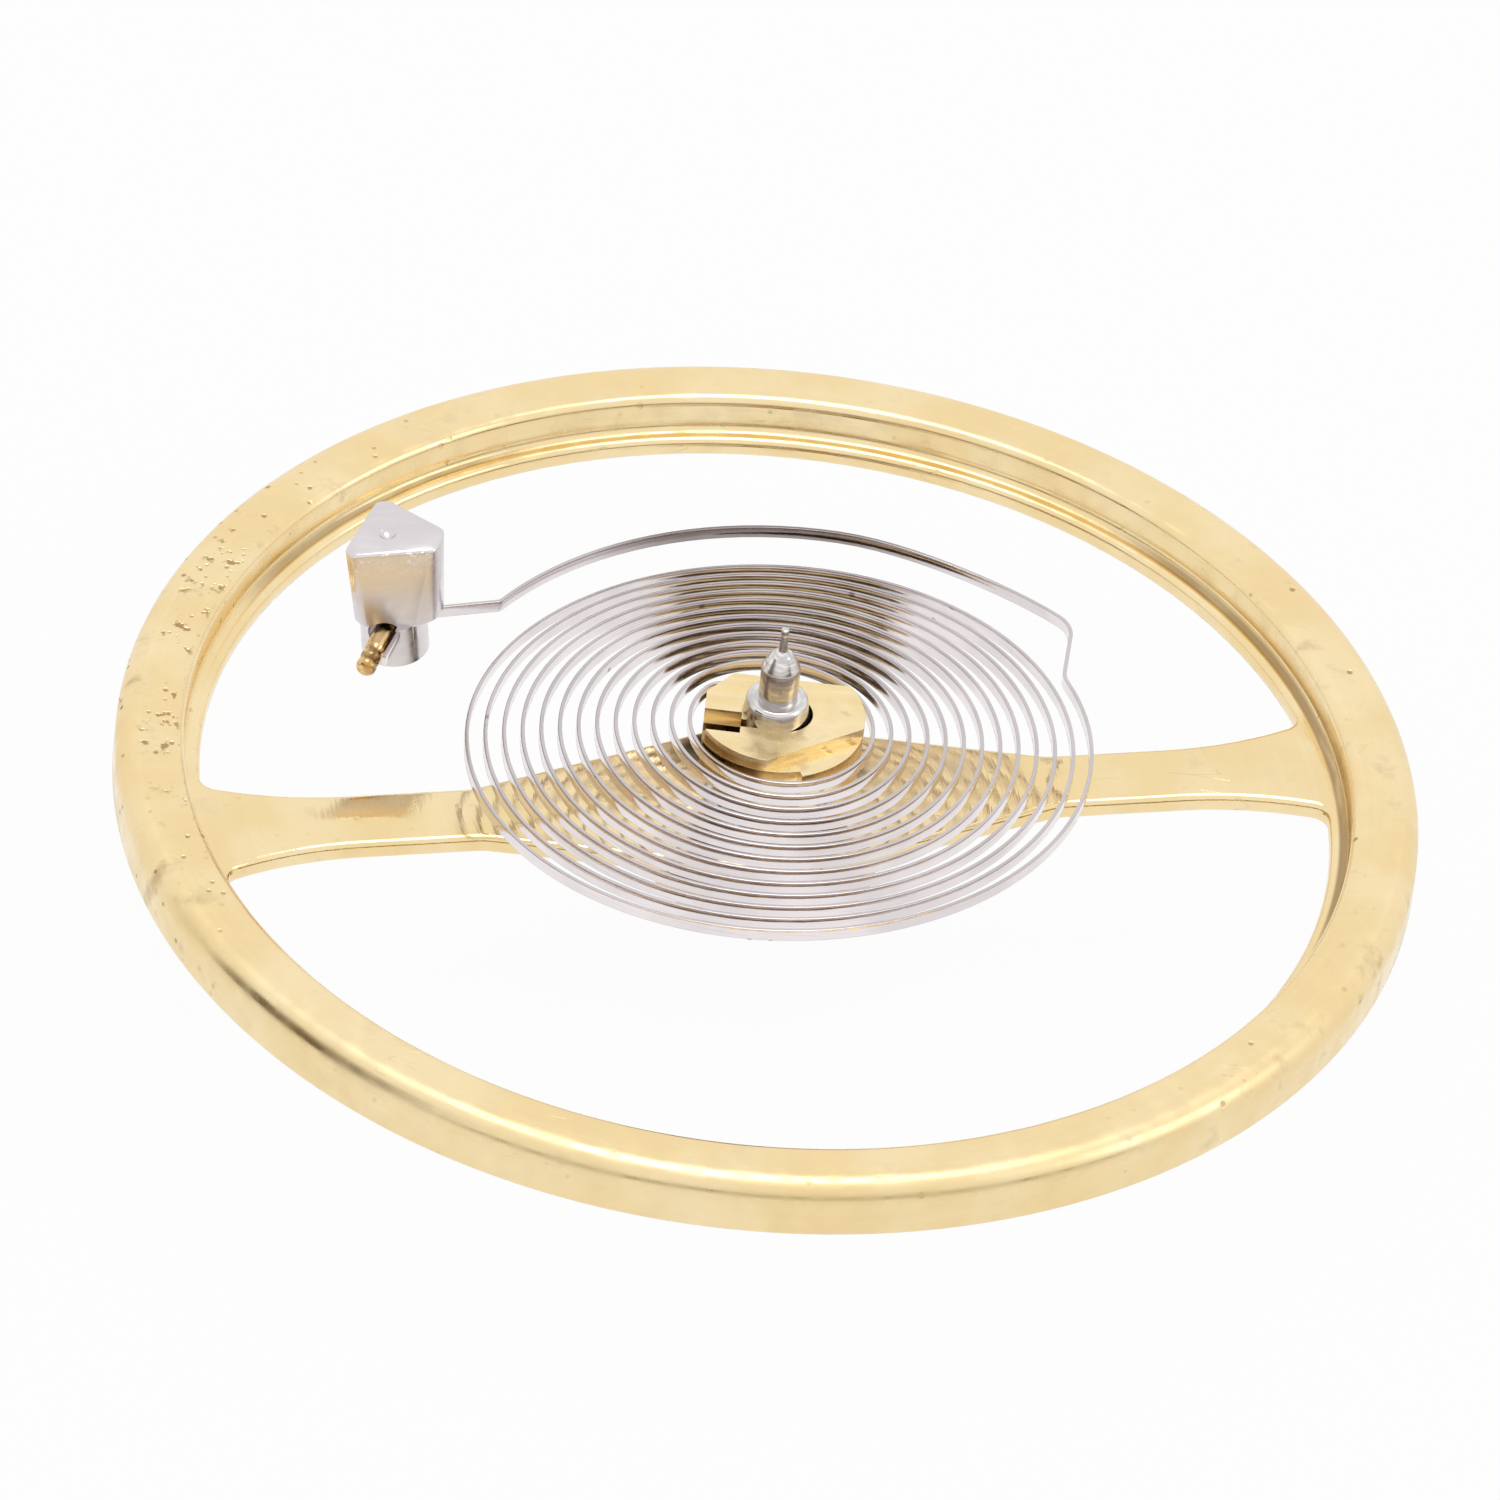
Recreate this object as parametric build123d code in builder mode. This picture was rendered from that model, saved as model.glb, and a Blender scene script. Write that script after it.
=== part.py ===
"""Balance wheel of a watch with its staff, collet, hairspring, stud and double roller.

Lengths are in millimetres. Z runs up the staff and is 0 at the tip of the lower pivot.
The hairspring uncoils counter-clockwise, seen from above, from the collet to the stud.
"""

import os
from math import acos, asin, atan2, ceil, cos, degrees, dist, hypot, pi, radians, sin, tan

from build123d import *

# Wheel: a two-armed rim turned and pierced from one blank
outer_radius = 5.0
rim_width = 0.52
rim_height = 0.46
rim_top_round = 0.13
rim_bottom_chamfer = 0.03
rim_inner_bevel = 0.045
web_thickness = 0.16
ledge_width = 0.142
ledge_fillet = 0.05
web_edge_bevel = 0.03
arm_azimuth = 15.6
arm_width = 0.61
arm_waist = 2.25
arm_flare_start = 3.2
arm_flare_radius = 3.0
arm_root_fillet = 0.15
boss_radius = 0.886

# Staff, from the lower pivot up
pivot_radius = 0.035
pivot_length = 0.21
pivot_chamfer = 0.012
root_radius = 0.08
root_length = 0.03
cone_length = 0.125
arbor_radius = 0.2
arbor_tail = 0.075
hub_radius = 0.62
hub_thickness = 0.22
hub_chamfer = 0.05
wheel_seat_radius = 0.44
rivet_radius = 0.5
rivet_height = 0.05
rest_radius = 0.4
rest_length = 0.15
collet_seat_radius = 0.255
seat_projection = 0.155
seat_top_radius = 0.235
seat_round = 0.035
spindle_radius = 0.15
spindle_length = 0.292

# Double roller and its impulse jewel
table_radius = 0.9
table_thickness = 0.22
table_tube_radius = 0.34
table_tube_length = 0.2
safety_radius = 0.46
safety_thickness = 0.2
crescent_radius = 0.17
roller_bevel = 0.03
jewel_radius = 0.15
jewel_flat = 0.05
jewel_centre_radius = 0.68
jewel_length = 0.4
jewel_azimuth = 285.6

# Collet
neck_radius = 0.46
neck_height = 0.22
flange_radius = 0.63
flange_height = 0.33
plate_radius = 0.6
plate_height = 0.08
nose_radius = 0.685
nose_azimuth = 22
back_flat = 0.41
corner_flat = 0.525
corner_flat_azimuth = 143
front_flat = 0.469
front_flat_azimuth = -54
gate_flat = 0.54
gate_width = 0.25
gate_offset = 0.18
slit_width = 0.09
bore_relief_radius = 0.235
bore_relief_shift = 0.05

# Hairspring: a ribbon on edge
strip_thickness = 0.03
strip_height = 0.1
strip_level = 0.2
weld_length = 0.5
lead_bend_radius = 0.18
lead_bend_angle = 58
coil_pitch = 0.14
first_coil_radius = 0.7025
coil_shift = 0.02
coil_count = 12
coil_tail_angle = 25.9
step_radius = 0.28
step_angle = 28.1
step_length = 0.46
shoulder_radius = 0.33
shoulder_angle = 50.8
terminal_rise = 0.375
terminal_angle = 98.9
heel_radius = 0.06
heel_angle = 38.3
tail_length = 0.7
stud_bend_radius = 0.06
stud_bend_angle = 56
strip_end_length = 0.6

# Stud and its taper pin
foot_radius = 0.26
foot_below = 0.29
foot_chamfer = 0.02
shoulder_above = 0.06
shoulder_rise = 0.08
head_above = 0.83
head_half_width = 0.517
head_front = 0.245
head_back = 0.441
head_apex_shift = 0.1
head_corner_round = 0.11
head_edge_round = 0.03
dimple_radius = 0.045
pin_bore_radius = 0.125
strip_bore_radius = 0.08
strip_side = 0.06
pin_radius = 0.085
pin_end_radius = 0.06
pin_front = 0.64
pin_rear = 0.34
pin_chamfer = 0.025

# Levels on the staff
safety_base = pivot_length + root_length + cone_length + arbor_tail
tube_base = safety_base + safety_thickness
table_base = tube_base + table_tube_length
hub_base = table_base + table_thickness
web_base = hub_base + hub_thickness
web_top = web_base + web_thickness
rim_top = web_base + rim_height
rest_base = web_top + rivet_height
collet_base = rest_base + rest_length
flange_base = collet_base + neck_height
plate_base = flange_base + flange_height
plate_top = plate_base + plate_height
seat_top = plate_top + seat_projection
spindle_top = seat_top + spindle_length
staff_top = spindle_top + cone_length + root_length + pivot_length
spring_middle = rim_top + strip_level


def polar(radius, azimuth):
    """Point at a radius and an azimuth about the staff."""
    return Vector(radius * cos(radians(azimuth)), radius * sin(radians(azimuth)))


def cut_flat(distance, azimuth, size):
    """Cut the open sketch beyond a flat that faces the azimuth."""
    with PolarLocations(distance + size / 2, 1, azimuth):
        Rectangle(size, size, mode=Mode.SUBTRACT)


def nearest(shapes, point):
    """The shape that lies nearest to a point."""
    return shapes.sort_by_distance(point)[0]


def rim_section():
    """Half section of the rim, with the ledge that the arms spring from."""
    wall = outer_radius - rim_width
    ledge = wall - ledge_width
    with BuildSketch(Plane.XZ) as section:
        with BuildLine():
            Polyline(
                (ledge, web_base),
                (outer_radius, web_base),
                (outer_radius, rim_top),
                (wall, rim_top),
                (wall, web_top),
                (ledge, web_top),
                close=True,
            )
        make_face()
        fillet(nearest(section.vertices(), (outer_radius, rim_top)), rim_top_round)
        fillet(nearest(section.vertices(), (wall, web_top)), ledge_fillet)
        chamfer(nearest(section.vertices(), (wall, rim_top)), rim_inner_bevel)
        chamfer(nearest(section.vertices(), (outer_radius, web_base)), rim_bottom_chamfer)
    return section.sketch


def arm_quarter():
    """A quarter of the crossbar along X: boss, line to the waist, straight arm and flare."""
    half = arm_width / 2
    wall = outer_radius - rim_width
    tangent = degrees(atan2(half, arm_waist) + acos(boss_radius / hypot(arm_waist, half)))
    flare = degrees(asin((wall - arm_flare_start) / arm_flare_radius))
    with BuildSketch() as quarter:
        with BuildLine() as flank:
            Polyline(
                (0, 0),
                (0, boss_radius * sin(radians(tangent))),
                polar(boss_radius, tangent),
                (arm_waist, half),
                (arm_flare_start, half),
            )
            JernArc((arm_flare_start, half), (1, 0), arm_flare_radius, flare)
            end = flank.line @ 1
            Polyline(end, (end.X, 0), (0, 0))
        make_face()
    return quarter.sketch


def web_outline():
    """Crossbar with its boss and the ring that the ledge sits on, about X."""
    wall = outer_radius - rim_width
    ledge = wall - ledge_width
    with BuildSketch() as web:
        Circle(wall)
        Circle(ledge, mode=Mode.SUBTRACT)
        Circle(boss_radius)
        add(arm_quarter())
        mirror(about=Plane.XZ)
        mirror(about=Plane.YZ)
        corners = web.vertices().filter_by(lambda v: abs(hypot(v.X, v.Y) - ledge) < web_edge_bevel)
        fillet(corners, arm_root_fillet)
        Circle(wheel_seat_radius, mode=Mode.SUBTRACT)
    return web.sketch


def make_wheel():
    """Rim, ledge and crossbar in one piece, with the edges of its windows broken."""
    ledge = outer_radius - rim_width - ledge_width
    with BuildPart() as wheel:
        with BuildSketch(Plane((0, 0, web_base)).rotated((0, 0, arm_azimuth))):
            add(web_outline())
        extrude(amount=web_thickness)
        revolve(rim_section(), Axis.Z)
        rims = wheel.edges().filter_by_position(Axis.Z, web_top, web_top)
        rims = rims.filter_by(
            lambda e: rivet_radius < hypot(e.center().X, e.center().Y) < ledge + web_edge_bevel
        )
        chamfer(rims, web_edge_bevel)
    return wheel.part


def make_staff():
    """Turned staff: two pivots, arbor, hub, wheel seat with its rivet, collet seat and spindle."""
    with BuildPart() as staff:
        with BuildSketch(Plane.XZ):
            with BuildLine():
                Polyline(
                    (0, 0),
                    (pivot_radius, 0),
                    (pivot_radius, pivot_length),
                    (root_radius, pivot_length + root_length),
                    (arbor_radius, pivot_length + root_length + cone_length),
                    (arbor_radius, hub_base),
                    (hub_radius - hub_chamfer, hub_base),
                    (hub_radius, hub_base + hub_chamfer),
                    (hub_radius, web_base),
                    (wheel_seat_radius, web_base),
                    (wheel_seat_radius, web_top),
                    (rivet_radius, web_top),
                    (wheel_seat_radius, rest_base),
                    (rest_radius, rest_base),
                    (rest_radius, collet_base),
                    (collet_seat_radius, collet_base),
                    (collet_seat_radius, plate_top),
                    (seat_top_radius, seat_top),
                    (spindle_radius, seat_top),
                    (spindle_radius, spindle_top),
                    (root_radius, spindle_top + cone_length),
                    (pivot_radius, spindle_top + cone_length + root_length),
                    (pivot_radius, staff_top),
                    (0, staff_top),
                    close=True,
                )
            make_face()
        revolve(axis=Axis.Z)
        ends = staff.edges().group_by(Axis.Z)
        chamfer(ends[0] + ends[-1], pivot_chamfer)
        rim = staff.edges().filter_by_position(Axis.Z, seat_top, seat_top)
        fillet(rim.sort_by(SortBy.RADIUS)[-1], seat_round)
    return staff.part


def jewel_section():
    """Round with one flat, the flat away from the staff."""
    with BuildSketch() as section:
        Circle(jewel_radius)
        cut_flat(jewel_radius - jewel_flat, 0, 2 * jewel_radius)
    return section.sketch


def make_roller_table():
    """Roller table with its tube, bored for the arbor and pierced for the jewel."""
    with BuildPart() as table:
        with Locations((0, 0, table_base)):
            Cylinder(table_radius, table_thickness, align=(Align.CENTER, Align.CENTER, Align.MIN))
        outer = table.edges().filter_by(GeomType.CIRCLE)
        chamfer(outer, roller_bevel)
        with Locations((0, 0, tube_base)):
            Cylinder(table_tube_radius, table_tube_length, align=(Align.CENTER, Align.CENTER, Align.MIN))
        with BuildSketch(Plane((0, 0, tube_base))):
            Circle(arbor_radius)
        extrude(amount=hub_base - tube_base, mode=Mode.SUBTRACT)
        with BuildSketch(Plane((0, 0, table_base))):
            with PolarLocations(jewel_centre_radius, 1, jewel_azimuth):
                add(jewel_section())
        extrude(amount=table_thickness, mode=Mode.SUBTRACT)
    return table.part


def make_safety_roller():
    """Safety roller with its passing hollow in front of the jewel."""
    with BuildPart() as roller:
        with BuildSketch(Plane((0, 0, safety_base))):
            Circle(safety_radius)
            Circle(arbor_radius, mode=Mode.SUBTRACT)
            with PolarLocations(safety_radius + crescent_radius / 2, 1, jewel_azimuth):
                Circle(crescent_radius, mode=Mode.SUBTRACT)
        extrude(amount=safety_thickness)
    return roller.part


def make_jewel():
    """Impulse jewel, flush with the top of the roller table."""
    with BuildPart() as jewel:
        with BuildSketch(Plane((0, 0, hub_base - jewel_length))):
            with PolarLocations(jewel_centre_radius, 1, jewel_azimuth):
                add(jewel_section())
        extrude(amount=jewel_length)
    return jewel.part


def collet_outline(radius):
    """Round body with its wider nose, cut by the flat for the hairspring and by the other flats."""
    size = 2 * outer_radius
    with BuildSketch() as nose:
        Circle(nose_radius)
        cut_flat(0, nose_azimuth + 180, size)
    with BuildSketch() as outline:
        Circle(radius)
        add(nose.sketch)
        cut_flat(back_flat, 90, size)
        cut_flat(corner_flat, corner_flat_azimuth, size)
        cut_flat(gate_flat, 180, size)
    return outline.sketch


def make_collet():
    """Split collet: neck, flange and top plate, gated and slit on the side away from the nose."""
    with BuildPart() as collet:
        with Locations((0, 0, collet_base)):
            Cylinder(neck_radius, neck_height, align=(Align.CENTER, Align.CENTER, Align.MIN))
        with BuildSketch(Plane((0, 0, flange_base))):
            add(collet_outline(flange_radius))
        extrude(amount=flange_height)
        with BuildSketch(Plane((0, 0, plate_base))):
            add(collet_outline(plate_radius))
            cut_flat(front_flat, front_flat_azimuth, 2 * outer_radius)
            with Locations((-gate_flat, -gate_offset)):
                Rectangle(2 * (gate_flat - collet_seat_radius), gate_width, mode=Mode.SUBTRACT)
        extrude(amount=plate_height)
        with BuildSketch(Plane((0, 0, collet_base))):
            Circle(collet_seat_radius)
            with Locations((bore_relief_shift, 0)):
                Circle(bore_relief_radius)
            with Locations((-gate_flat, -gate_offset)):
                Rectangle(2 * gate_flat, slit_width)
        extrude(amount=plate_top - collet_base, mode=Mode.SUBTRACT)
    return collet.part


def lead_radius():
    """Radius of the arc that leads from the bend beside the collet to the first turn."""
    weld_line = back_flat + strip_thickness / 2
    drop = lead_bend_radius * (1 - cos(radians(lead_bend_angle)))
    return (weld_line - drop) / cos(radians(lead_bend_angle))


def weld_start():
    """Start of the ribbon's middle line, on the flat at the back of the collet."""
    left = first_coil_radius - coil_pitch / 4 - coil_shift
    sweep = (lead_radius() - lead_bend_radius) * sin(radians(lead_bend_angle))
    return Vector(lead_radius() - left - sweep + weld_length, back_flat + strip_thickness / 2)


def ribbon_steps():
    """The ribbon's middle line as tangent steps: a length or a radius, and the angle turned."""
    steps = [
        (weld_length, 0),
        (lead_bend_radius, lead_bend_angle),
        (lead_radius(), 90 - lead_bend_angle),
    ]
    for half_turn in range(2 * coil_count + 1):
        steps.append((first_coil_radius + half_turn * coil_pitch / 2, 180))
    tail_radius = first_coil_radius + (2 * coil_count + 1) * coil_pitch / 2
    steps += [
        (tail_radius, coil_tail_angle),
        (step_radius, -step_angle),
        (step_length, 0),
        (shoulder_radius, shoulder_angle),
        (tail_radius + terminal_rise, terminal_angle),
        (heel_radius, -heel_angle),
        (tail_length, 0),
        (stud_bend_radius, stud_bend_angle),
        (strip_end_length, 0),
    ]
    return steps


def ribbon_line(offset):
    """A line along the ribbon, set off to the left of its middle line."""
    heading = polar(1, 180)
    point = weld_start() + polar(offset, 270)
    edges = []
    for size, turn in ribbon_steps():
        if turn == 0:
            edge = Line(point, point + heading * size)
        elif turn > 0:
            edge = JernArc(point, heading, size - offset, turn)
        else:
            edge = JernArc(point, heading, size + offset, turn)
        edges.append(edge)
        point = edge @ 1
        heading = edge % 1
    return edges


def stud_place():
    """Place of the stud: on the ribbon's straight tail, where its last bend meets the pin bore."""
    tail = ribbon_line(0)[-3]
    heading = tail % 1
    corner = strip_side / sin(radians(stud_bend_angle))
    past = corner + stud_bend_radius * tan(radians(stud_bend_angle / 2))
    place = (tail @ 1) + heading * past
    return place, degrees(atan2(-heading.Y, -heading.X))


def least_gap(edges):
    """Least gap of the ribbon to itself, measured between points on its turns."""
    spacing = coil_pitch / 4
    points = []
    for edge in edges:
        count = ceil(edge.length / spacing)
        points += [edge @ (n / count) for n in range(count)]
    places = [(point.X, point.Y) for point in points]
    half_turn = int(pi * first_coil_radius / spacing)
    closest = min(
        dist(place, other)
        for index, place in enumerate(places)
        for other in places[index + half_turn :]
    )
    return closest - strip_thickness


def make_hairspring():
    """Flat spring from the weld on the collet to the stud, one closed outline raised."""
    inner = ribbon_line(strip_thickness / 2)
    outer = ribbon_line(-strip_thickness / 2)
    with BuildPart() as spring:
        with BuildSketch(Plane((0, 0, spring_middle - strip_height / 2))):
            with BuildLine():
                add(inner + outer)
                Line(inner[0] @ 0, outer[0] @ 0)
                Line(inner[-1] @ 1, outer[-1] @ 1)
            make_face()
        extrude(amount=strip_height)
    return spring.part


def bore_line():
    """Plane at the stud whose Z runs along the pin bore, towards the pin's thin end."""
    place, azimuth = stud_place()
    along = polar(1, azimuth + 180 + stud_bend_angle)
    return Plane(place + Vector(0, 0, spring_middle), x_dir=(0, 0, 1), z_dir=along)


def make_stud():
    """Stud: three-sided head on a turned foot, cross-bored for the pin and the spring."""
    place, azimuth = stud_place()
    base = spring_middle + shoulder_above
    top = spring_middle + head_above
    with BuildPart() as stud:
        with BuildSketch(Plane(place + Vector(0, 0, base)).rotated((0, 0, azimuth))) as head:
            with BuildLine():
                Polyline(
                    (-head_half_width, -head_front),
                    (head_half_width, -head_front),
                    (head_apex_shift, head_back),
                    close=True,
                )
            make_face()
            fillet(head.vertices(), head_corner_round)
        extrude(amount=top - base)
        upright = Plane(place, x_dir=(1, 0, 0), z_dir=(0, -1, 0))
        with BuildSketch(upright):
            with BuildLine():
                Polyline(
                    (0, base),
                    (foot_radius, base),
                    (head_half_width, base + shoulder_rise),
                    (head_half_width, top),
                    (0, top),
                    close=True,
                )
            make_face()
        revolve(axis=Axis(place, (0, 0, 1)), mode=Mode.INTERSECT)
        fillet(stud.edges().group_by(Axis.Z)[-1], head_edge_round)
        with BuildSketch(Plane(place + Vector(0, 0, spring_middle - foot_below))):
            Circle(foot_radius)
        extrude(amount=foot_below + shoulder_above)
        chamfer(stud.edges().group_by(Axis.Z)[0], foot_chamfer)
        with BuildSketch(bore_line()):
            Circle(pin_bore_radius)
        extrude(amount=2 * foot_radius, both=True, mode=Mode.SUBTRACT)
        entry = Plane(place + Vector(0, 0, spring_middle), x_dir=(0, 0, 1), z_dir=polar(1, azimuth))
        with BuildSketch(entry):
            Circle(strip_bore_radius)
        extrude(amount=2 * foot_radius, mode=Mode.SUBTRACT)
        with Locations(place + Vector(0, 0, top)):
            Cone(0, dimple_radius, 2 * dimple_radius, mode=Mode.SUBTRACT)
    return stud.part


def make_stud_pin():
    """Taper pin that wedges the spring against the side of the bore."""
    line = bore_line()
    seat = line.origin + line.y_dir * (pin_bore_radius - pin_radius)
    axis = Plane(seat, x_dir=line.x_dir, z_dir=line.z_dir)
    with BuildPart() as pin:
        with BuildSketch(axis.offset(-pin_rear)):
            Circle(pin_radius)
        with BuildSketch(axis.offset(pin_front)):
            Circle(pin_end_radius)
        loft()
        tip = pin.edges().sort_by_distance(seat)[-1]
        chamfer(tip, pin_chamfer)
    return pin.part


with BuildPart() as balance_wheel:
    add(make_wheel())
with BuildPart() as balance_staff:
    add(make_staff())
with BuildPart() as roller_table:
    add(make_roller_table())
with BuildPart() as safety_roller:
    add(make_safety_roller())
with BuildPart() as impulse_jewel:
    add(make_jewel())
with BuildPart() as collet:
    add(make_collet())
with BuildPart() as hairspring:
    add(make_hairspring())
with BuildPart() as hairspring_stud:
    add(make_stud())
with BuildPart() as stud_pin:
    add(make_stud_pin())

pieces = {
    "balance_wheel": balance_wheel,
    "balance_staff": balance_staff,
    "roller_table": roller_table,
    "safety_roller": safety_roller,
    "impulse_jewel": impulse_jewel,
    "collet": collet,
    "hairspring": hairspring,
    "hairspring_stud": hairspring_stud,
    "stud_pin": stud_pin,
}

os.makedirs("parts", exist_ok=True)
for name, piece in pieces.items():
    piece.part.label = name
    export_step(piece.part, f"parts/{name}.step")

gap = least_gap(ribbon_line(0))
print(f"hairspring: {coil_count + 1} turns, least gap to itself {gap:.3f} mm")
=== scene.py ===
import math

import bmesh
import bpy
from mathutils import Matrix, Vector


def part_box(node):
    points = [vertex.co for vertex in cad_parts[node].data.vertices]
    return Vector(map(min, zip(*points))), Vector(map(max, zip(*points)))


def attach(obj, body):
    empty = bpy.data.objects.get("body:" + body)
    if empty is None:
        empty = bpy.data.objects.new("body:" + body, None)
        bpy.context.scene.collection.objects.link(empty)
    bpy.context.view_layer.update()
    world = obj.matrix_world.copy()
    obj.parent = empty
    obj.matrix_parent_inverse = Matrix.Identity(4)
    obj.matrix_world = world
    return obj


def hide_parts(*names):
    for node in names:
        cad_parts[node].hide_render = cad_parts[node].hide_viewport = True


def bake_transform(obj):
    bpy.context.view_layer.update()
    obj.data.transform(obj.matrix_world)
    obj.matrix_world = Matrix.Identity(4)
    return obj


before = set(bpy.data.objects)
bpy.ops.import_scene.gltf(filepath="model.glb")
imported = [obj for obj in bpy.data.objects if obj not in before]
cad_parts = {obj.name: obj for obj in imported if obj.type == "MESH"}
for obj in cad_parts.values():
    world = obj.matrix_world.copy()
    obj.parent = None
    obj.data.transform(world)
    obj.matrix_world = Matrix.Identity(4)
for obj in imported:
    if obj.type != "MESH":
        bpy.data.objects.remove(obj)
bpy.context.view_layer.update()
mm = 0.001  # pieces are shaped in millimetres, then scaled to metres


def levelsOf(node):
    low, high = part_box(node)
    return low.z / mm, high.z / mm


webBase, rimTop = levelsOf("balance_wheel")
staffHigh = levelsOf("balance_staff")[1]
colletBase, plateTop = levelsOf("collet")
springLow, springHigh = levelsOf("hairspring")
tubeBase, hubBase = levelsOf("roller_table")
safetyLow, safetyHigh = levelsOf("safety_roller")
jewelLow, jewelHigh = levelsOf("impulse_jewel")
springMiddle = (springLow + springHigh) / 2


# Shaping helpers

joined = 1e-4  # points nearer than this become one
slack = 0.01  # room left where edges are picked by their place
cutPast = 0.1  # how far a cutting tool reaches beyond the metal
realCorner = 1  # radians between two faces of an edge that counts as a corner
onPlane = 1e-5  # points this near to a cutting plane count as on it
rodSides = 96
roundSegments = {"small": 4, "large": 8, "largeAbove": 0.06}
edgeForm = {"segments": 3, "bevelAbove": 35, "sharpAbove": 40, "sharpAboveBevelled": 80}


def polar(radius, azimuth, height=0.0):
    turn = math.radians(azimuth)
    return Vector((radius * math.cos(turn), radius * math.sin(turn), height))


def turnAbout(azimuth):
    return Matrix.Rotation(math.radians(azimuth), 3, "Z")


def trace(bm, start, heading, steps, fineness=3.0):
    # a chain of lines (length, 0), tangent arcs (radius, degrees) and bare turns (0, degrees)
    first = len(bm.verts)
    tip = bm.verts.new(start)
    direction = polar(1, heading)
    for size, turn in steps:
        if turn == 0:
            tip = bmesh.ops.extrude_vert_indiv(bm, verts=[tip])["verts"][0]
            tip.co += direction * size
        elif size > 0:
            centre = tip.co + turnAbout(math.copysign(90, turn)) @ direction * size
            spun = bmesh.ops.spin(bm, geom=[tip], cent=centre, axis=(0, 0, 1), angle=math.radians(turn),
                                  steps=max(2, math.ceil(abs(turn) / fineness)))
            tip = spun["geom_last"][0]
        direction = turnAbout(turn) @ direction
    bm.verts.ensure_lookup_table()
    return bm.verts[first:]


def lathe(bm, profile, rounds, steps=160, closed=True):
    # profile points (radius, height); rounds gives the corner rounding by point number
    made = [bm.verts.new((radius, 0, height)) for radius, height in profile]
    chain = [bm.edges.new(pair) for pair in zip(made, made[1:])]
    if closed and profile[0][0] > 0:
        chain.append(bm.edges.new((made[-1], made[0])))
    before = set(bm.verts) - set(made)
    for number, size in rounds.items():
        segments = roundSegments["large" if size > roundSegments["largeAbove"] else "small"]
        bmesh.ops.bevel(bm, geom=[made[number]], offset=size, offset_type="OFFSET", profile=0.5,
                        segments=segments, affect="VERTICES", material=-1)
    section = [v for v in bm.verts if v not in before]
    edges = [e for e in bm.edges if e.verts[0] in set(section)]
    bmesh.ops.spin(bm, geom=section + edges, cent=(0, 0, 0), axis=(0, 0, 1), angle=math.tau,
                   steps=steps, use_merge=True)
    bmesh.ops.remove_doubles(bm, verts=bm.verts, dist=joined)
    bmesh.ops.recalc_face_normals(bm, faces=bm.faces)


def shiftGrown(bm, grown, height):
    points = [part for part in grown["geom"] if isinstance(part, bmesh.types.BMVert)]
    bmesh.ops.translate(bm, verts=points, vec=(0, 0, height))


def raiseFaces(bm, faces, height):
    shiftGrown(bm, bmesh.ops.extrude_face_region(bm, geom=faces), height)
    bmesh.ops.recalc_face_normals(bm, faces=bm.faces)


def slab(bm, base, height):
    # fills the closed chain of an outline and raises it
    bmesh.ops.remove_doubles(bm, verts=bm.verts, dist=joined)
    bmesh.ops.contextual_create(bm, geom=bm.edges[:])
    bmesh.ops.translate(bm, verts=bm.verts, vec=(0, 0, base))
    raiseFaces(bm, bm.faces[:], height)


def bevelEdges(bm, edges, size, segments):
    bmesh.ops.bevel(bm, geom=edges, offset=size, offset_type="OFFSET", segments=segments, profile=0.5,
                    affect="EDGES", material=-1)


def cutAway(bm, distance, azimuth=0.0):
    # cuts off what lies further out than an upright plane, and closes the cut
    bmesh.ops.bisect_plane(bm, geom=bm.verts[:] + bm.edges[:] + bm.faces[:], dist=onPlane,
                           plane_co=polar(distance, azimuth), plane_no=polar(1, azimuth), clear_outer=True)
    bmesh.ops.holes_fill(bm, edges=bm.edges, sides=0)


def block(size, place):
    bm = bmesh.new()
    bmesh.ops.create_cube(bm, size=1)
    bmesh.ops.scale(bm, verts=bm.verts, vec=size)
    bmesh.ops.translate(bm, verts=bm.verts, vec=place)
    return bm


def rod(radius, low, high, centre=(0, 0), radiusHigh=None):
    bm = bmesh.new()
    bmesh.ops.create_cone(bm, cap_ends=True, segments=rodSides, radius1=radius, depth=high - low,
                          radius2=radius if radiusHigh is None else radiusHigh)
    bmesh.ops.translate(bm, verts=bm.verts, vec=(centre[0], centre[1], (high + low) / 2))
    return bm


def scratchObject(bm):
    mesh = bpy.data.meshes.new("scratch")
    bm.to_mesh(mesh)
    made = bpy.data.objects.new("scratch", mesh)
    bpy.context.scene.collection.objects.link(made)
    return made


def combine(bm, tool, operation="DIFFERENCE"):
    base, other = scratchObject(bm), scratchObject(tool)
    change = base.modifiers.new("combine", "BOOLEAN")
    change.operation = operation
    change.solver = "EXACT"
    change.object = other
    bpy.context.view_layer.update()
    shaped = base.evaluated_get(bpy.context.evaluated_depsgraph_get())
    result = bpy.data.meshes.new_from_object(shaped)
    bm.clear()
    bm.from_mesh(result)
    for used in (base, other):
        mesh = used.data
        bpy.data.objects.remove(used)
        bpy.data.meshes.remove(mesh)
    bpy.data.meshes.remove(result)
    tool.free()
    bmesh.ops.remove_doubles(bm, verts=bm.verts, dist=joined)


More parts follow.
